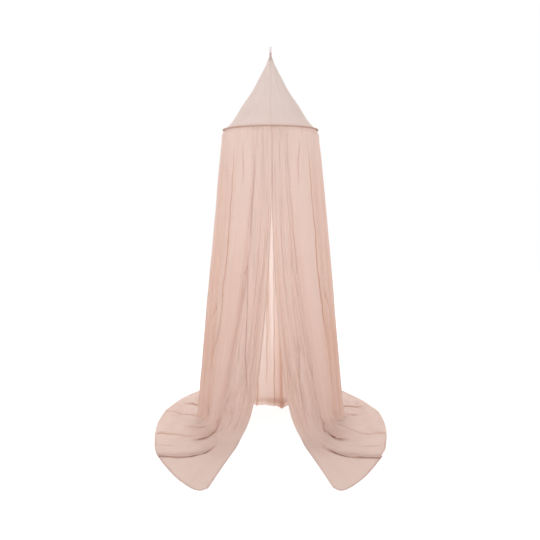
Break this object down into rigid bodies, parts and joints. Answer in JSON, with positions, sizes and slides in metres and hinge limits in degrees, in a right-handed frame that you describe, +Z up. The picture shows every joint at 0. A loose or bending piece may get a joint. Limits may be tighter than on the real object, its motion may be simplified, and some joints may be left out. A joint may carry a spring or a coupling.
{
  "type": "mosquito net canopy with hoop",
  "caption": "Hanging cloth canopy with a hanging loop, a pointed cone, a round hoop in a sewn casing and a long drape, open at the front, that spreads over the floor.",
  "frame": {"origin": "top of the hanging loop, where the ceiling hook holds it", "axes": "+Z up, -Y towards the drape's opening, +X to the right as seen from the front; the floor is 1.953 m below the origin"},
  "size_m": [1.167, 1.6215, 1.953],
  "materials": {
    "tape": "flat woven cotton tape, matt",
    "cone_cloth": "thin plain-woven cotton muslin, matt, a little see-through",
    "drape_cloth": "thin plain-woven cotton muslin, matt, a little see-through",
    "casing_cloth": "the same muslin in several layers, stitched",
    "ring": "smooth moulded plastic rod"
  },
  "bodies": {
    "root": {"hanging_loop": "tape", "cone_top": "cone_cloth", "hoop": "ring", "hoop_casing": "casing_cloth", "drape": "drape_cloth"}
  },
  "joints": []
}
